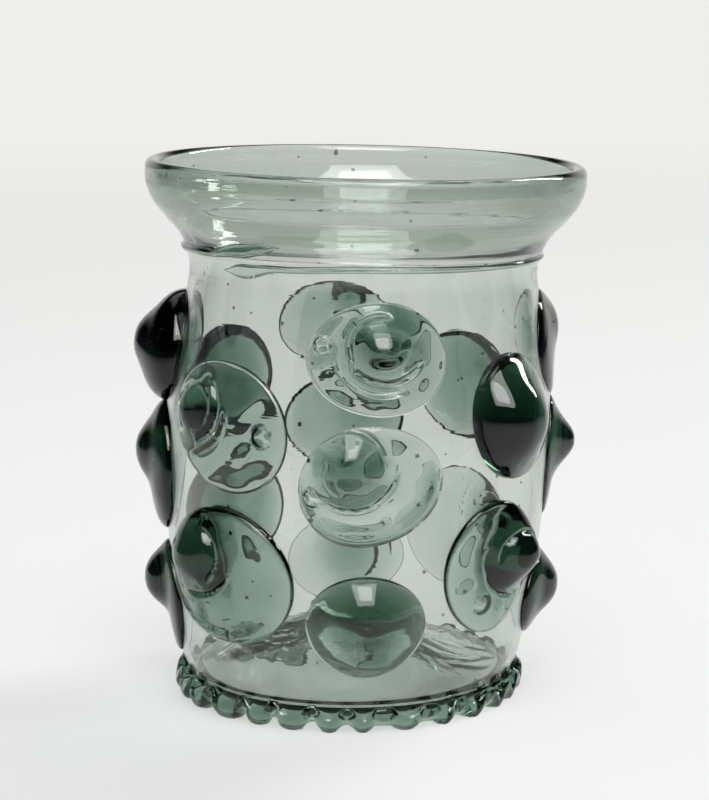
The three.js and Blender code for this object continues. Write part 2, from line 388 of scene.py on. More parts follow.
@dataclass(frozen=True)
class Nose:
    """The nose of a drop: how far it stands out, how wide and how blunt it is."""

    lift: float
    width: float
    power: float = 2.4

    def fall(self, away: Array) -> Array:
        """Returns the share of the rise that is left at each distance from the nose."""
        return np.exp(-((away / self.width) ** self.power))


@dataclass(frozen=True)
class Hump(Nose):
    """The broad rise that carries a nose."""

    power: float = 2.6


@dataclass(frozen=True)
class Fold:
    """A fold of a drop: its distance from the nose, the bearings it runs between, and its depth.

    A raised rim is a fold as well. It follows the drop's edge, so its distance stays 0.
    """

    radius: float
    start: float
    end: float
    depth: float

    def bearing(self, around: Array) -> Array:
        """Returns how far round each place lies past the start of the fold."""
        return np.mod(around - self.start, 360)

    def share(self, around: Array, ease: float) -> Array:
        """Returns how much of the fold's depth each place has, easing in and out at its two ends."""
        bearing = self.bearing(around)
        length = self.end - self.start
        return smooth_step(0, ease, bearing) * (1 - smooth_step(length - ease, length, bearing))


@dataclass(frozen=True)
class Blister:
    """A pocket of air trapped under a drop: its place on the drop and its radius."""

    across: float
    up: float
    radius: float


@dataclass
class Drop:
    """One applied drop: its place on the wall, its outline, and the glass that stands on it.

    The nose's place is given in shares of half the width and of half the height. The plate is the glass
    near the edge and the dome what is added toward the middle. Heavy_side and heavy_up thicken the plate
    to the right and upwards, and tilt draws the nose down.
    """

    place: str
    azimuth: float
    level: float
    width: float
    height: float
    turn: float
    nose_at: SPAN
    plate: float
    dome: float
    hump: Hump
    nose: Nose
    seed: int
    tilt: float = 0.0
    heavy_side: float = 0.0
    heavy_up: float = 0.0
    uneven: float = 0.03
    fullness: float = 0.42
    ripple: float = 1.0
    rim: Fold = Fold(0, 0, 0, 0)
    folds: tuple[Fold, ...] = ()
    blisters: tuple[Blister, ...] = ()
    segments: int = 96
    rings: int = 72


@dataclass
class AppliedDrops:
    """The drops of dark glass that were dropped on the wall and drawn out to noses."""

    wall: Wall
    sink: float = 0.06
    fold_width: float = 0.42
    fold_ease: float = 25.0
    fold_drift: float = 1.6
    rim_at: float = 0.42
    rim_width: float = 0.17
    rim_ease: float = 30.0
    ripple: float = 0.008
    ripple_lengths: tuple[float, ...] = (12.0, 9.0, 7.0, 5.4, 4.4)
    ripple_rise: SPAN = (0.25, 0.7)
    blister_arch: float = 0.4
    least_glass: float = 0.15
    crease_angle: float = 50.0

    def drops(self) -> list[Drop]:
        """Returns every drop, in the rows that go round the glass."""
        return self.front_drops() + self.side_drops() + self.back_drops()

    def front_drops(self) -> list[Drop]:
        """Returns the seven drops on the front, which show every fold."""
        fine = {"segments": 160, "rings": 136, "ripple": 0.8}
        smooth = {"segments": 128, "rings": 96, "uneven": 0.012, "ripple": 0.15}
        return [
            Drop("front_upper", 4.9, 71.7, 25.5, 21.4, -8, (0.06, 0.26), 1.4, 0, Hump(3.6, 6.0),
                 Nose(1.3, 3.5, 4.0), seed=1, tilt=0.4, blisters=(Blister(-10.2, 2.4, 1.7),), **fine,
                 folds=(Fold(4.9, 70, 230, 0.9), Fold(6.6, -150, -20, 1.2), Fold(8.6, -170, -60, 0.8))),
            Drop("front_middle", 3.7, 48.3, 26.5, 23.4, 14, (-0.3, 0.3), 1.0, 0, Hump(3.0, 6.2),
                 Nose(1.2, 4.6), seed=2, rim=Fold(0, 170, 385, 0.9), **fine,
                 blisters=(Blister(-10.6, -2.2, 1.8),),
                 folds=(Fold(6.4, 0, 160, 1.0), Fold(7.4, -140, 10, 0.8), Fold(3.8, 150, 260, 0.6))),
            Drop("front_lower", 4.0, 21.1, 22.5, 20.1, 0, (0, 0.24), 0.7, 1.5, Hump(3.9, 7.6),
                 Nose(0, 3), seed=3, segments=144, rings=112, uneven=0.012, ripple=0.35),
            Drop("front_left_upper", -41.2, 57.6, 30.0, 23.0, -16, (-0.5, 0.2), 1.9, 0, Hump(0.7, 6.0),
                 Nose(1.5, 3.5, 2.6), seed=4, blisters=(Blister(9.0, -1.0, 1.9),),
                 folds=(Fold(5.8, -70, 60, 1.0), Fold(8.0, -90, 10, 0.7)), **fine),
            Drop("front_left_lower", -40.3, 29.0, 30.5, 25.5, -14, (-0.36, 0.3), 2.9, 0, Hump(2.8, 7.6),
                 Nose(1.2, 3.6), seed=5, rim=Fold(0, 170, 330, 0.8), **fine,
                 blisters=(Blister(1.0, -11.2, 0.9),),
                 folds=(Fold(5.2, -60, 70, 1.2), Fold(7.4, -110, -10, 1.1), Fold(4.2, 130, 250, 0.8))),
            Drop("front_right_upper", 50.1, 59.5, 21.5, 23.9, 12, (-0.3, -0.02), 0.8, 3.6, Hump(3.9, 7.6),
                 Nose(0.2, 4), seed=6, heavy_side=-0.4, **smooth),
            Drop("front_right_lower", 44.2, 30.5, 21.8, 26.4, 12, (0.38, 0.22), 1.9, 0, Hump(3.7, 7.0),
                 Nose(1.4, 3.6), seed=7, blisters=(Blister(-2.0, -6.8, 2.0), Blister(5.0, -6.0, 0.7)),
                 folds=(Fold(7.6, 160, 280, 0.8), Fold(3.4, -40, 200, 0.7)), **fine),
        ]

    def side_drops(self) -> list[Drop]:
        """Returns the three drops on each side, which are seen by their outline."""
        side = {"ripple": 0.3}
        return [
            Drop("left_upper", -94, 67.9, 25.0, 22.6, 0, (0, 0.03), 1.9, 4.7, Hump(0.5, 8.3),
                 Nose(1.6, 4.9, 3.15), seed=8, fullness=1.0, **side),
            Drop("left_middle", -90, 44.75, 25.0, 25.8, 0, (0, 0.24), 3.6, 0, Hump(1.75, 4.9),
                 Nose(0.5, 5.8, 5.0), seed=9, fullness=0.94, **side),
            Drop("left_lower", -90, 18.3, 24.0, 21.6, 0, (0, 0.35), 1.6, 0.2, Hump(0.55, 3.1),
                 Nose(3.2, 5.6, 4.3), seed=10, fullness=0.6, **side),
            Drop("right_upper", 93, 69.8, 29.5, 20.3, 0, (0.1, 0.37), 1.8, 0, Hump(1.75, 5.5),
                 Nose(0, 5.3, 3.8), seed=11, fullness=1.0, **side),
            Drop("right_middle", 90, 47.5, 19.0, 23.7, 0, (0, 0.23), 0.6, 0.7, Hump(1.4, 3.2),
                 Nose(2.35, 5.9, 3.25), seed=12, fullness=0.7, **side),
            Drop("right_lower", 90, 19.6, 24.0, 17.2, 0, (0, 0.14), 1.5, 1.1, Hump(1.45, 5.0),
                 Nose(1.35, 5.6, 3.3), seed=13, fullness=1.0, **side),
        ]

    def back_drops(self) -> list[Drop]:
        """Returns the seven drops on the back, which are seen through the glass."""
        back = {"fullness": 0.6, "ripple": 0.6}
        return [
            Drop("back_upper", -171.5, 68.3, 24.6, 19.5, 6, (-0.25, 0.5), 0.9, 1.0, Hump(0.3, 6.4),
                 Nose(2.8, 3.2), seed=14, folds=(Fold(3.4, 160, 330, 0.9),), **back),
            Drop("back_middle", -176, 47, 26.0, 21.0, 0, (-0.3, 0.2), 1.1, 1.8, Hump(0.3, 7.4),
                 Nose(0.6, 4.6), seed=15, heavy_side=-0.2, heavy_up=0.3, **back),
            Drop("back_lower", -177.5, 17.2, 26.0, 18.0, 0, (-0.12, 0.1), 0.8, 0, Hump(2.8, 6.6),
                 Nose(0.2, 4.6), seed=16, folds=(Fold(4.6, 60, 250, 1.0), Fold(8.2, 100, 200, 0.6)), **back),
            Drop("back_left_upper", -132, 57.6, 26.0, 22.0, 10, (0.25, 0.3), 0.8, 5.7, Hump(0.6, 7.0),
                 Nose(0.2, 3.2), seed=17, **back),
            Drop("back_left_lower", -134.5, 29.6, 28.0, 23.0, -8, (0.3, 0.2), 1.8, 3.4, Hump(0.8, 7.4),
                 Nose(0.4, 4.6), seed=18, heavy_side=0.4, heavy_up=0.3, **back),
            Drop("back_right_upper", 142.5, 56.3, 24.0, 23.4, -10, (-0.3, 0.4), 0.8, 2.9, Hump(0.3, 7.0),
                 Nose(0.5, 4.6), seed=19, heavy_side=-0.4, heavy_up=0.5, **back),
            Drop("back_right_lower", 140, 25.5, 27.0, 26.0, 8, (-0.5, 0.3), 1.0, 0, Hump(0.8, 6.4),
                 Nose(3.6, 3.8), seed=20, folds=(Fold(3.2, 0, 280, 0.9), Fold(6.0, -120, 60, 0.6)), **back),
        ]

    def build(self, drop: Drop) -> Piece:
        """Presses a ball on the wall and draws it out to the drop's form, a closed mesh."""
        start_clean()
        bpy.ops.mesh.primitive_uv_sphere_add(segments=drop.segments, ring_count=drop.rings, radius=MM)
        return shape_active("drop_" + drop.place, lambda ball: self.press(drop, ball), self.crease_angle)

    def press(self, drop: Drop, ball: Array) -> Array:
        """Maps a unit ball to the drop: its upper half is the outside, its lower half the seat."""
        ball = ball / np.linalg.norm(ball, axis=1)[:, None]
        out = np.clip(np.hypot(ball[:, 0], ball[:, 1]), 0, 1)
        around = np.arctan2(ball[:, 1], ball[:, 0])
        uneven = 1 + drop.uneven * waves(around, [(1, 2, drop.seed), (0.5, 3, -2 * drop.seed)])
        half_width, half_height = drop.width / 2, drop.height / 2
        across = half_width * np.cos(around) * uneven
        up = half_height * np.sin(around) * uneven
        turn = math.radians(drop.turn)
        edge_x = across * math.cos(turn) - up * math.sin(turn)
        edge_y = across * math.sin(turn) + up * math.cos(turn)
        nose_x, nose_y = half_width * drop.nose_at[0], half_height * drop.nose_at[1]
        flat_x = nose_x + (edge_x - nose_x) * out
        flat_y = nose_y + (edge_y - nose_y) * out
        top = self.outside(drop, flat_x, flat_y, np.sqrt(1 - out * out), nose_x, nose_y)
        lift = np.where(ball[:, 2] >= 0, top, self.seat(drop, flat_x, flat_y, top))
        radius = float(self.wall.radius(drop.level))
        azimuth = drop.azimuth + np.degrees(flat_x / radius)
        return self.wall.stand_off(azimuth, drop.level + flat_y, lift)

    def outside(self, drop: Drop, x: Array, y: Array, rise: Array,
                nose_x: float, nose_y: float) -> Array:
        """Returns how far the outside of a drop stands off the wall.

        Args:
            drop: The drop.
            x: Place across the drop.
            y: Place up the drop.
            rise: Height of the unit ball there, 0 at the edge of the drop.
            nose_x: Place of the nose across the drop.
            nose_y: Place of the nose up the drop.
        """
        away = np.hypot(x - nose_x, y - nose_y)
        around = np.degrees(np.arctan2(y - nose_y, x - nose_x))
        heavy = 1 + drop.heavy_side * 2 * x / drop.width + drop.heavy_up * 2 * y / drop.height
        closed = np.sqrt(rise)
        lift = drop.plate * heavy * rise ** drop.fullness + drop.dome * rise
        lift = lift + drop.hump.lift * drop.hump.fall(away) * closed
        lift = lift + (drop.nose.lift - drop.tilt * (y - nose_y)) * drop.nose.fall(away) * closed
        on_rim = np.exp(-(((rise - self.rim_at) / self.rim_width) ** 2))
        lift = lift + drop.rim.depth * drop.rim.share(np.degrees(np.arctan2(y, x)), self.rim_ease) * on_rim
        for fold in drop.folds:
            course = fold.radius + self.fold_drift * fold.bearing(around) / 180
            dip = np.exp(-(((away - course) / self.fold_width) ** 2)) * closed
            lift = lift - fold.depth * fold.share(around, self.fold_ease) * dip
        return lift + self.ripples(drop, x, y) * smooth_step(*self.ripple_rise, rise) - self.sink

    def ripples(self, drop: Drop, x: Array, y: Array) -> Array:
        """Returns the soft unevenness of hand-dropped glass."""
        draw = np.random.default_rng(drop.seed)
        total = np.zeros_like(x)
        for length in self.ripple_lengths:
            turn, phase = draw.uniform(0, 2 * math.pi, 2)
            wave = 2 * math.pi / length * (x * math.cos(turn) + y * math.sin(turn)) + phase
            total = total + self.ripple * drop.ripple * length * np.sin(wave)
        return total

    def seat(self, drop: Drop, x: Array, y: Array, top: Array) -> Array:
        """Returns the height of the seat, a hair inside the wall and arched over each blister."""
        lift = np.full_like(x, -self.sink)
        for blister in drop.blisters:
            away = (x - blister.across) ** 2 + (y - blister.up) ** 2
            share = np.clip(1 - away / blister.radius ** 2, 0, 1)
            lift = lift + np.sqrt(share) * self.blister_arch * blister.radius
        return np.minimum(lift, top - self.least_glass * (top > 2 * self.least_glass))


@dataclass
class NeckTrail:
    """The thread of glass wound once round the neck, whose thick tail lies over its thin start.

    The course gives an azimuth, and the rise, width and depth there in shares of the trail's own.
    """

    wall: Wall
    level: float = 88.0
    width: float = 1.3
    depth: float = 0.9
    sink: float = 0.12
    course: tuple[tuple[float, float, float, float], ...] = (
        (-50, -1.5, 0.5, 0.3), (-40, -1.3, 2.2, 0.6), (-26, -0.5, 1, 0.8), (0, 0, 1, 0.9),
        (70, -0.2, 0.8, 0.7), (110, -0.3, 0.5, 0.35), (240, 0.2, 0.5, 0.35), (285, 0.5, 1, 1),
        (306, 0.9, 1.1, 1.3), (322, 1.9, 1.9, 2.1), (330, 2.4, 1.6, 1.7), (335, 2.7, 0.4, 0.4))
    end_bluntness: float = 4.0
    sides: int = 20
    steps: int = 420
    crease_angle: float = 60.0

    def build(self) -> Piece:
        """Draws a ball out along the trail's course, to a closed mesh."""
        start_clean()
        bpy.ops.mesh.primitive_uv_sphere_add(segments=self.sides, ring_count=self.steps, radius=MM)
        return shape_active("glass_neck_trail", self.wind, self.crease_angle)

    def wind(self, ball: Array) -> Array:
        """Maps the points of a unit ball to the trail, its poles to the trail's two ends."""
        ball = ball / np.linalg.norm(ball, axis=1)[:, None]
        course = np.array(self.course)
        tip = np.arccos(np.clip(ball[:, 2], -1, 1)) / math.pi
        azimuth = course[0, 0] + (course[-1, 0] - course[0, 0]) * tip
        share = np.interp(azimuth, course[:, 0], np.arange(len(course)))
        whole = np.minimum(share.astype(int), len(course) - 2)
        part = smooth_step(0, 1, share - whole)
        station = course[whole] * (1 - part)[:, None] + course[whole + 1] * part[:, None]
        around = np.arctan2(ball[:, 1], ball[:, 0])
        end = np.minimum(1, np.sqrt(np.clip(1 - (2 * tip - 1) ** 2, 0, 1)) * self.end_bluntness)
        level = self.level + self.width * station[:, 1]
        level = level + self.width * station[:, 2] / 2 * np.sin(around) * end
        out = self.depth * station[:, 3] * np.cos(around) * end
        return self.wall.stand_off(azimuth, level, np.maximum(out, -self.sink))


@dataclass
class PinchedFoot:
    """The trail under the base corner, pinched out to lobes that the glass stands on.

    A pair of reaches, halves, angles or shares is for the left of the foot and for its right,
    where the lobes are sharper.
    """

    wall: Wall
    lobes: int = 28
    steps: int = 24
    sides: int = 36
    ring_radius: float = 30.0
    ring_half: float = 3.0
    seat: float = 3.04
    valley_reach: SPAN = (4.9, 5.6)
    lobe_reach: float = 7.0
    valley_half: SPAN = (2.5, 3.0)
    lobe_half: SPAN = (2.6, 2.3)
    valley_angle: SPAN = (-36.0, -47.0)
    lobe_angle: SPAN = (-54.0, -58.0)
    lobe_share: SPAN = (0.82, 0.66)
    lobe_ease: SPAN = (0.0, 0.25)
    sharp_share: float = 0.6
    right_start: SPAN = (-20.0, 15.0)
    right_end: SPAN = (130.0, 170.0)
    drift: tuple[WAVE, ...] = ((0.09, 5, 1), (0.07, 11, 0))
    uneven: tuple[WAVE, ...] = ((0.07, 7, 2), (0.05, 3, 0))
    crease_angle: float = 60.0

    def build(self) -> Piece:
        """Turns a ring into the trail and pinches its lobes, to a closed mesh cut flat where it stands."""
        start_clean()
        bpy.ops.mesh.primitive_torus_add(
            major_segments=self.lobes * self.steps, minor_segments=self.sides,
            major_radius=self.ring_radius * MM, minor_radius=self.ring_half * MM)
        return shape_active("glass_foot", self.pinch, self.crease_angle)

    def lobe(self, azimuth: Array, right: Array) -> Array:
        """Returns how much of a lobe there is at each azimuth, from 0 in a valley to 1 on its crest."""
        count = azimuth * self.lobes / 360 + waves(np.radians(azimuth), self.drift)
        across = np.abs(2 * np.mod(count, 1) - 1) / mix(self.lobe_share, right)
        full = np.sqrt(np.clip(1 - across ** 2, 0, 1)) * smooth_step(*self.lobe_ease, 1 - across)
        sharp = 0.5 + 0.5 * np.cos(math.pi * np.clip(across, 0, 1))
        return full + self.sharp_share * (sharp - full) * right

    def pinch(self, ring: Array) -> Array:
        """Maps the points of a plain ring to the pinched trail."""
        azimuth = np.degrees(np.arctan2(ring[:, 0], -ring[:, 1]))
        around = np.arctan2(ring[:, 2], np.hypot(ring[:, 0], ring[:, 1]) - self.ring_radius)
        right = smooth_step(*self.right_start, azimuth) * (1 - smooth_step(*self.right_end, azimuth))
        lobe = self.lobe(azimuth, right)
        size = 1 + waves(np.radians(azimuth), self.uneven)
        valley = mix(self.valley_reach, right)
        reach = valley + (self.lobe_reach - valley) * lobe * size
        half = mix((mix(self.valley_half, right), mix(self.lobe_half, right)), lobe)
        angle = np.radians(mix((mix(self.valley_angle, right), mix(self.lobe_angle, right)), lobe))
        out = self.seat + (reach - self.seat) * (0.5 + 0.5 * np.cos(around))
        section = angle + half * np.sin(around) / (0.5 * out + 0.5 * reach)
        radius = self.wall.corner_start + out * np.cos(section)
        level = np.maximum(self.wall.corner_level + out * np.sin(section), 0)
        return self.wall.lean(self.wall.cylindrical(azimuth, radius, level))


# Finishes


class NodeSheet:
    """Adds nodes to a tree and links them by name."""

    def __init__(self, tree: bpy.types.NodeTree) -> None:
        """Keeps the tree that nodes are added to."""
        self.tree = tree

    @classmethod
    def fresh(cls, owner: bpy.types.Material | bpy.types.World) -> "NodeSheet":
        """Empties the node tree of a material or a world and returns a sheet for it."""
        owner.use_nodes = True
        owner.node_tree.nodes.clear()
        return cls(owner.node_tree)

    def add(self, kind: str, inputs: dict | None = None, **settings: object) -> bpy.types.Node:
        """Adds a node.

        Args:
            kind: Node type without its ShaderNode prefix.
            inputs: Socket name or number to a value, or to the socket that feeds it.
            settings: Properties of the node.

        Returns:
            The node.
        """
        node = self.tree.nodes.new("ShaderNode" + kind)
        for name, value in settings.items():
            setattr(node, name, value)
        for name, value in (inputs or {}).items():
            if isinstance(value, Socket):
                self.tree.links.new(value, node.inputs[name])
            else:
                node.inputs[name].default_value = value
        return node

    def math(self, operation: str, *values: object) -> Socket:
        """Adds a Math node and returns its result."""
        return self.add("Math", dict(enumerate(values)), operation=operation).outputs[0]

    def times(self, first: object, *others: object) -> Socket:
        """Multiplies values, from the first on, and returns the product."""
        for other in others:
            first = self.math("MULTIPLY", first, other)
        return first

    def vector(self, operation: str, *values: object) -> bpy.types.Node:
        """Adds a Vector Math node."""
        return self.add("VectorMath", dict(enumerate(values)), operation=operation)

    def ramp(self, value: Socket, span: tuple, ends: SPAN = RISE) -> Socket:
        """Maps a value smoothly from a span, of numbers or sockets, to a pair of ends."""
        node = self.add("MapRange", {"Value": value, "From Min": span[0], "From Max": span[1],
                                     "To Min": ends[0], "To Max": ends[1]}, interpolation_type="SMOOTHSTEP")
        return node.outputs[0]

    def noise(self, place: Socket, scale: float, detail: float, distortion: float = 0.0) -> Socket:
        """Adds a noise texture and returns its value."""
        inputs = {"Vector": place, "Scale": scale, "Detail": detail, "Distortion": distortion}
        return self.add("TexNoise", inputs).outputs[0]

    def blend(self, share: object, first: object, second: object) -> Socket:
        """Blends two colours, each a socket or three numbers, and returns the result."""
        ends = [(*end, 1) if isinstance(end, tuple) else end for end in (first, second)]
        return self.add("Mix", {0: share, 6: ends[0], 7: ends[1]}, data_type="RGBA").outputs[2]


@dataclass(frozen=True)
class BlownSurface:
    """What marks the surface of blown glass: cords, soft waves, seeds, specks, dust and tool marks.

    Places and spans are metres, and scales are counts per metre. A noise is its scale, its detail and
    its distortion.
    """

    cord_scale: tuple[float, float, float] = (9.0, 9.0, 240.0)
    cord_noise: tuple[float, ...] = (1.0, 3.0, 0.6)
    wave_scale: tuple[float, float, float] = (60.0, 60.0, 75.0)
    wave_noise: tuple[float, ...] = (1.0, 2.0)
    wave_height: float = 0.9
    flare_level: SPAN = (0.078, 0.088)
    flare_gain: SPAN = (1.0, 4.6)
    seed_scale: float = 210.0
    seed_size: float = 0.16
    seed_edge: float = 0.02
    seed_rarity: float = 0.82
    speck_scale: float = 260.0
    speck_size: float = 0.135
    speck_rarity: float = 0.62
    speck_colour: COLOUR = (0.12, 0.1, 0.08)
    dust_noise: tuple[float, ...] = (90.0, 4.0)
    dust_cover: SPAN = (0.5, 0.8)
    dust_haze: SPAN = (0.0, 0.03)
    streak_spread: float = 2.0
    streak_scale: float = 100.0
    streak_noise: tuple[float, ...] = (1.0, 2.0, 1.4)
    streak_cover: SPAN = (0.3, 0.72)
    streak_outer: SPAN = (0.024, 0.029)
    streak_inner: SPAN = (0.003, 0.010)
    streak_top: SPAN = (0.018, 0.022)
    streak_aside: SPAN = (0.008, 0.015)
    streak_far: SPAN = (-0.014, -0.004)
    streak_middle: SPAN = (-0.005, 0.005)
    streak_height: SPAN = (10.0, 5.0)

    def group(self) -> bpy.types.NodeTree:
        """Builds the group, which takes the strength of each mark and puts out Height, Tint and Roughness."""
        group = bpy.data.node_groups.new("blown_glass_surface", "ShaderNodeTree")
        for name in SURFACE_INPUTS:
            group.interface.new_socket(name=name, in_out="INPUT", socket_type="NodeSocketFloat")
        for name, kind in (("Height", "Float"), ("Tint", "Color"), ("Roughness", "Float")):
            group.interface.new_socket(name=name, in_out="OUTPUT", socket_type="NodeSocket" + kind)
        sheet = NodeSheet(group)
        entry = group.nodes.new("NodeGroupInput").outputs
        leave = group.nodes.new("NodeGroupOutput").inputs
        place = sheet.add("TexCoord").outputs["Object"]
        group.links.new(self.height(sheet, place, entry), leave["Height"])
        specks = sheet.times(self.specks(sheet, place), entry["Specks"])
        group.links.new(sheet.blend(specks, WHITE, self.speck_colour), leave["Tint"])
        dust = sheet.ramp(sheet.noise(place, *self.dust_noise), self.dust_cover, self.dust_haze)
        rough = sheet.math("ADD", entry["Gloss"], sheet.times(dust, entry["Dust"]))
        group.links.new(rough, leave["Roughness"])
        return group

    def height(self, sheet: NodeSheet, place: Socket, entry: Outputs) -> Socket:
        """Adds the height of the surface at a place, for a Bump node, by the group's inputs."""
        axes = sheet.add("SeparateXYZ", {0: place}).outputs
        banded = sheet.add("Mapping", {"Vector": place, "Scale": self.cord_scale}).outputs[0]
        height = sheet.times(sheet.noise(banded, *self.cord_noise), entry["Cords"])
        height = sheet.times(height, sheet.ramp(axes["Z"], self.flare_level, self.flare_gain))
        height = sheet.math("ADD", height, self.kick_streaks(sheet, place, axes))
        soft = sheet.add("Mapping", {"Vector": place, "Scale": self.wave_scale}).outputs[0]
        height = sheet.math("ADD", height, sheet.times(sheet.noise(soft, *self.wave_noise), self.wave_height))
        cells, chance = self.cells(sheet, place, self.seed_scale)
        pit = sheet.ramp(cells, (sheet.times(chance["Green"], self.seed_size), self.seed_edge))
        pit = sheet.times(pit, sheet.math("GREATER_THAN", chance["Red"], self.seed_rarity))
        return sheet.math("SUBTRACT", height, sheet.times(pit, entry["Seeds"]))

    @staticmethod
    def cells(sheet: NodeSheet, place: Socket, scale: float) -> tuple[Socket, Outputs]:
        """Scatters cells over the glass and returns the distance in each and its random colour's parts."""
        cells = sheet.add("TexVoronoi", {"Vector": place, "Scale": scale}).outputs
        return cells["Distance"], sheet.add("SeparateColor", {"Color": cells["Color"]}).outputs

    def specks(self, sheet: NodeSheet, place: Socket) -> Socket:
        """Adds the specks of dirt and returns 1 on each, 0 off it."""
        cells, chance = self.cells(sheet, place, self.speck_scale)
        dot = sheet.math("LESS_THAN", cells, sheet.times(chance["Blue"], self.speck_size))
        return sheet.times(dot, sheet.math("GREATER_THAN", chance["Red"], self.speck_rarity))

    def kick_streaks(self, sheet: NodeSheet, place: Socket, axes: Outputs) -> Socket:
        """Adds the height of the tool marks that run down the pushed-up base from its top, 0 off it."""
        flat = sheet.vector("MULTIPLY", place, (1, 1, 0)).outputs[0]
        radius = sheet.vector("LENGTH", flat).outputs["Value"]
        way = sheet.vector("NORMALIZE", flat).outputs[0]
        spread = sheet.vector("MULTIPLY", way, (self.streak_spread,) * 3).outputs[0]
        lifted = sheet.add("CombineXYZ", {2: sheet.times(radius, self.streak_scale)}).outputs[0]
        point = sheet.vector("ADD", spread, lifted).outputs[0]
        marks = sheet.ramp(sheet.noise(point, *self.streak_noise), self.streak_cover)
        inner = sheet.ramp(radius, self.streak_inner)
        aside = sheet.ramp(sheet.math("ABSOLUTE", axes["X"]), self.streak_aside)
        within = sheet.times(sheet.ramp(radius, self.streak_outer, FALL), inner, aside)
        far = sheet.ramp(axes["Y"], self.streak_far)
        within = sheet.times(within, sheet.times(sheet.ramp(axes["Z"], self.streak_top, FALL), far))
        return sheet.times(marks, sheet.ramp(axes["X"], self.streak_middle, self.streak_height), within)


@dataclass(frozen=True)
class GlassFinish:
    """A glass: what it absorbs per millimetre of its depth, and how its surface waves."""

    name: str
    absorbed: COLOUR
    cords: float
    seeds: float
    shadow: float
    specks: float = 1.0
    dust: float = 1.0
    gloss: float = 0.0
    depth_of_waves: float = 0.03
    refraction: float = 1.5

    def material(self, surface: bpy.types.NodeTree) -> bpy.types.Material:
        """Builds the refracting glass on its surface's group, with absorption and see-through shadows."""
        made = bpy.data.materials.new(self.name)
        sheet = NodeSheet.fresh(made)
        marks = sheet.add("Group", node_tree=surface)
        for name in SURFACE_INPUTS:
            marks.inputs[name].default_value = getattr(self, name.lower())
        bump = sheet.add("Bump", {"Height": marks.outputs["Height"], "Strength": 1.0,
                                  "Distance": self.depth_of_waves * MM})
        glass = sheet.add("BsdfPrincipled", {
            "Base Color": marks.outputs["Tint"], "Roughness": marks.outputs["Roughness"],
            "Normal": bump.outputs[0], "IOR": self.refraction, "Transmission Weight": 1.0})
        density = max(self.absorbed)
        colour = tuple(1 - a / density for a in self.absorbed) + (1.0,)
        depth = sheet.add("VolumeAbsorption", {"Color": colour, "Density": density / MM})
        clear = sheet.add("BsdfTransparent", {"Color": (self.shadow, self.shadow, self.shadow, 1)})
        shadow = sheet.add("LightPath").outputs["Is Shadow Ray"]
        mixed = sheet.add("MixShader", {0: shadow, 1: glass.outputs[0], 2: clear.outputs[0]})
        sheet.add("OutputMaterial", {"Surface": mixed.outputs[0], "Volume": depth.outputs[0]})
        return made


class Finishes:
    """The three glasses of the beaker, each by its slot."""

    GLASSES = {
        Slot.WALL: GlassFinish("wall_glass", (0.152, 0.124, 0.145), cords=1.0, seeds=1.0, shadow=0.94),
        Slot.DROP: GlassFinish("drop_glass", (0.33, 0.235, 0.28), cords=0.3, seeds=1.5, shadow=0.9),
        Slot.TRAIL: GlassFinish("trail_glass", (0.33, 0.235, 0.28), cords=0.5, seeds=1.0, shadow=0.9),
    }

    def __init__(self) -> None:
        """Builds the materials once."""
        surface = BlownSurface().group()
        self.glass = {slot: finish.material(surface) for slot, finish in self.GLASSES.items()}

    def dress(self, piece: Piece, slot: Slot, *nodes: str) -> None:
        """Gives a finished piece the glass of its slot and its body, and hides the CAD nodes that it stands
        for.

        Args:
            piece: The finished piece.
            slot: Its slot.
            nodes: CAD nodes that it replaces.
        """
        piece.data.materials.clear()
        piece.data.materials.append(self.glass[slot])
        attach(piece, "root")
        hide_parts(*nodes)
        LOG.info("%s: %d faces, %s", piece.name, len(piece.data.polygons), slot.value)


# The studio


@dataclass(frozen=True)
class Tones:
    """Colours of the studio: the floor near and far, what the glass sees beside it, and the fill light."""

    near: COLOUR = (0.94, 0.94, 0.935)
    far: COLOUR = (0.86, 0.855, 0.83)
    dark: COLOUR = (0.012, 0.012, 0.015)
    dusk: COLOUR = (0.05, 0.046, 0.07)
    scrim: COLOUR = (0.62, 0.62, 0.68)
    fill: COLOUR = (0.5, 0.5, 0.5)


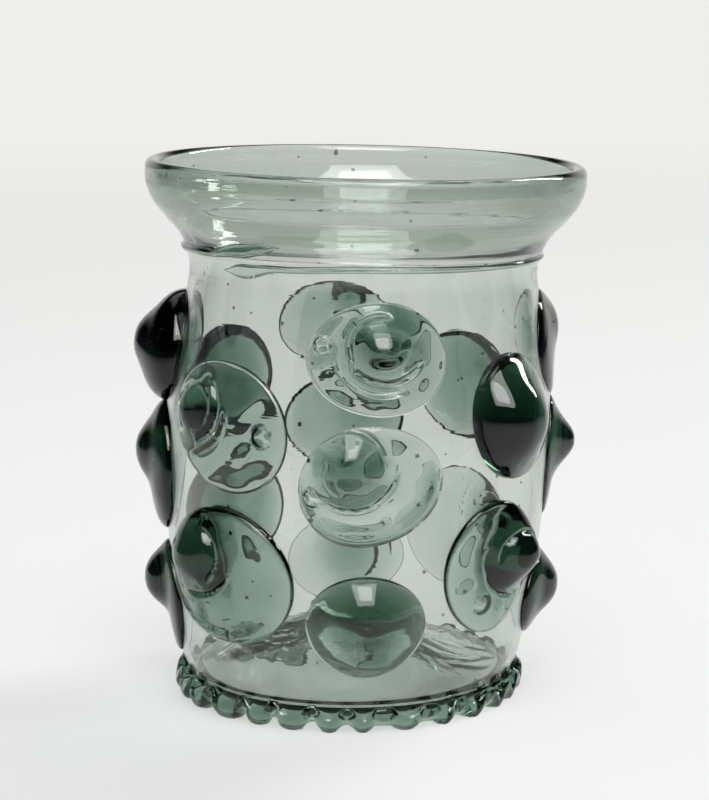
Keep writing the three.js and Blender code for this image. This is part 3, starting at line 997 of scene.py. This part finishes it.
@dataclass
class StudioFloor:
    """The pale floor, which fades into the surroundings and carries a painted shade. Spans are metres."""

    tones: Tones
    radius: float = 3.0
    sides: int = 128
    fade: SPAN = (0.1, 1.6)
    glow: SPAN = (0.4, 1.6)
    glow_shares: SPAN = (0.55, 1.0)
    sheet_slant: float = 0.6
    sheet_half: SPAN = (0.12, 0.6)
    sheet_front: SPAN = (-0.62, -0.12)
    # Painted shade: a soft shadow to the left of and in front of the glass, painted into the floor's colour
    painted_shade_left: SPAN = (-0.035, 0.02)
    painted_shade_front: SPAN = (-0.026, 0.012)
    painted_shade_reach: SPAN = (0.18, 0.5)
    painted_shade_depths: SPAN = (0.23, 0.0)

    def build(self) -> None:
        """Builds the floor: pale to the camera, and pale to the glass where a sheet would lie."""
        start_clean()
        bpy.ops.mesh.primitive_circle_add(vertices=self.sides, radius=self.radius, fill_type="NGON")
        floor = name_active("studio_floor")
        made = bpy.data.materials.new("studio_floor")
        sheet = NodeSheet.fresh(made)
        place = sheet.add("TexCoord").outputs["Object"]
        away = sheet.vector("LENGTH", place).outputs["Value"]
        axes = sheet.add("SeparateXYZ", {0: place}).outputs
        path = sheet.add("LightPath").outputs
        colour = sheet.blend(sheet.ramp(away, self.fade), self.tones.near, self.tones.far)
        lit = sheet.add("BsdfDiffuse", {"Color": colour})
        seen = sheet.math("MAXIMUM", path["Is Camera Ray"], path["Is Glossy Ray"])
        seen = sheet.math("MAXIMUM", seen, path["Is Transmission Ray"])
        sheeted = sheet.math("MAXIMUM", self.on_sheet(sheet, axes), path["Is Camera Ray"])
        # The floor's colour carries the painted shade, for the camera and on the sheet
        shown = sheet.blend(sheeted, self.tones.dusk, self.add_painted_shade(sheet, colour, axes, away))
        glow = sheet.add("Emission", {"Color": shown, "Strength": 1.0})
        share = sheet.times(seen, sheet.ramp(away, self.glow, self.glow_shares))
        mixed = sheet.add("MixShader", {0: share, 1: lit.outputs[0], 2: glow.outputs[0]})
        sheet.add("OutputMaterial", {"Surface": mixed.outputs[0]})
        floor.data.materials.append(made)

    def on_sheet(self, sheet: NodeSheet, axes: Outputs) -> Socket:
        """Adds the share of the pale sheet, which widens toward the back and ends in front of the glass."""
        sideways = sheet.math("ABSOLUTE", axes["X"])
        wide = sheet.math("SUBTRACT", sideways, sheet.times(axes["Y"], self.sheet_slant))
        return sheet.times(sheet.ramp(wide, self.sheet_half, FALL), sheet.ramp(axes["Y"], self.sheet_front))

    def add_painted_shade(self, sheet: NodeSheet, colour: Socket, axes: Outputs, away: Socket) -> Socket:
        """Paints a soft shade to the left of the glass into the floor's colour, by place and distance: a
        painted shadow, not one cast by the lamps.
        """
        left = sheet.ramp(axes["X"], self.painted_shade_left, FALL)
        front = sheet.ramp(axes["Y"], self.painted_shade_front, FALL)
        share = sheet.times(left, front, sheet.ramp(away, self.painted_shade_reach, self.painted_shade_depths))
        return sheet.blend(share, colour, BLACK)


@dataclass
class Surroundings:
    """The world: a pale backdrop for the camera, and for the glass pale low down and dark above.

    Each span is of one coordinate of the way looked, x to the right, y to the back and z up.
    """

    tones: Tones
    night_rise: SPAN = (-0.1, 0.25)
    sweep_back: SPAN = (0.55, 0.85)
    sweep_top: SPAN = (0.2, 0.42)
    scrim_foot: SPAN = (0.5, 0.58)
    scrim_top: SPAN = (0.86, 0.94)
    scrim_back: SPAN = (0.2, 0.35)
    scrim_side: SPAN = (0.35, 0.5)

    def build(self) -> None:
        """Builds the world and makes it the scene's own."""
        world = bpy.data.worlds.new("studio")
        bpy.context.scene.world = world
        sheet = NodeSheet.fresh(world)
        way = sheet.add("TexCoord").outputs["Generated"]
        axes = sheet.add("SeparateXYZ", {0: way}).outputs
        path = sheet.add("LightPath").outputs
        night = sheet.blend(sheet.ramp(axes["Z"], self.night_rise), self.tones.dusk, self.tones.dark)
        night = sheet.blend(self.on_scrim(sheet, axes), night, self.tones.scrim)
        low = sheet.ramp(axes["Z"], self.sweep_top, FALL)
        seen = sheet.blend(sheet.times(sheet.ramp(axes["Y"], self.sweep_back), low), night, self.tones.far)
        glassy = sheet.math("MAXIMUM", path["Is Glossy Ray"], path["Is Transmission Ray"])
        base = sheet.blend(path["Is Camera Ray"], self.tones.fill, self.tones.far)
        light = sheet.add("Background", {"Color": sheet.blend(glassy, base, seen), "Strength": 1.0})
        sheet.add("OutputWorld", {"Surface": light.outputs[0]})

    def on_scrim(self, sheet: NodeSheet, axes: Outputs) -> Socket:
        """Adds the share of the pale scrim that hangs high behind the glass, 0 off it."""
        high = sheet.ramp(axes["Z"], self.scrim_top, FALL)
        side = sheet.ramp(sheet.math("ABSOLUTE", axes["X"]), self.scrim_side, FALL)
        back = sheet.times(sheet.ramp(axes["Y"], self.scrim_back), side)
        return sheet.times(sheet.ramp(axes["Z"], self.scrim_foot), high, back)


@dataclass(frozen=True)
class Lamp:
    """A soft rectangular lamp that faces the glass.

    A mirrored lamp is seen only in the glass, and any other one lights only what is matt.
    Azimuth is degrees to the right of the front, and lengths are metres.
    """

    name: str
    azimuth: float
    elevation: float
    distance: float
    size: SPAN
    radiance: float
    mirrored: bool
    aim: tuple[float, float, float] = (0.0, 0.0, 0.05)

    def build(self) -> None:
        """Adds the lamp."""
        turn, rise = math.radians(self.azimuth), math.radians(self.elevation)
        away = Vector((math.sin(turn) * math.cos(rise), -math.cos(turn) * math.cos(rise), math.sin(rise)))
        start_clean()
        bpy.ops.object.light_add(type="AREA", location=Vector(self.aim) + away * self.distance)
        lamp = bpy.context.object
        lamp.name = self.name
        lamp.rotation_euler = away.to_track_quat("Z", "Y").to_euler()
        lamp.data.shape = "RECTANGLE"
        lamp.data.size, lamp.data.size_y = self.size
        lamp.data.energy = self.radiance * math.pi * self.size[0] * self.size[1]
        lamp.visible_camera = False
        lamp.visible_diffuse = not self.mirrored
        lamp.visible_glossy = self.mirrored
        lamp.visible_transmission = self.mirrored


class Studio:
    """Pale floor, pale surroundings and soft lamps."""

    LAMPS = (
        Lamp("overhead_softbox", 4, 58, 1.15, (0.62, 0.5), 6.0, mirrored=False),
        Lamp("right_softbox", 125, 38, 1.3, (0.4, 0.4), 7.0, mirrored=False),
        Lamp("front_panel", 1, 60, 1.15, (0.84, 1.1), 4.8, mirrored=True),
        Lamp("front_core", 1, 57, 1.14, (0.5, 0.5), 5.8, mirrored=True),
        Lamp("right_strip", 128, 36, 1.3, (0.15, 0.62), 26.0, mirrored=True),
    )

    def build(self) -> None:
        """Builds the floor, the surroundings and the lamps."""
        tones = Tones()
        StudioFloor(tones).build()
        Surroundings(tones).build()
        for lamp in self.LAMPS:
            lamp.build()
        LOG.info("studio: floor, surroundings and %d lamps", len(self.LAMPS))


@dataclass
class PhotoCamera:
    """The camera at the photograph's viewing angle."""

    distance: float = 0.474
    height: float = 0.143
    aside: float = -0.00094
    pitch: float = 10.2
    lens: float = 109.3
    sensor_width: float = 36.0
    nearest: float = 0.01

    def build(self) -> None:
        """Adds the camera and makes it the scene's own."""
        start_clean()
        place = (self.aside, -self.distance, self.height)
        bpy.ops.object.camera_add(location=place, rotation=(math.radians(90 - self.pitch), 0, 0))
        camera = bpy.context.object
        camera.name = "photo_camera"
        camera.data.lens = self.lens
        camera.data.sensor_width = self.sensor_width
        camera.data.clip_start = self.nearest
        bpy.context.scene.camera = camera
        LOG.info("camera: lens %.1f mm", self.lens)


@dataclass
class LightPaths:
    """How often light may bounce, so that it passes through the many layers of glass."""

    bounces: int = 40
    glossy: int = 12
    transparent: int = 60

    def apply(self) -> None:
        """Sets the bounces, the denoising and the plain view transform."""
        scene = bpy.context.scene
        scene.view_settings.view_transform = "Standard"
        scene.cycles.max_bounces = self.bounces
        scene.cycles.transmission_bounces = self.bounces
        scene.cycles.glossy_bounces = self.glossy
        scene.cycles.transparent_max_bounces = self.transparent
        scene.cycles.use_denoising = True


def main() -> None:
    """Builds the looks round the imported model, in order."""
    logging.basicConfig(level=logging.INFO, format="%(relativeCreated)6d ms  %(message)s")
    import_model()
    PhotoCamera().build()
    LightPaths().apply()
    Studio().build()
    finishes = Finishes()
    wall = Wall()
    finishes.dress(BeakerBody(wall).build(), Slot.WALL, "beaker_body")
    finishes.dress(NeckTrail(wall).build(), Slot.TRAIL, "neck_trail")
    finishes.dress(PinchedFoot(wall).build(), Slot.TRAIL, "pinched_foot")
    applied = AppliedDrops(wall)
    for drop in applied.drops():
        finishes.dress(applied.build(drop), Slot.DROP, "prunt_" + drop.place)


if __name__ == "__main__":
    main()
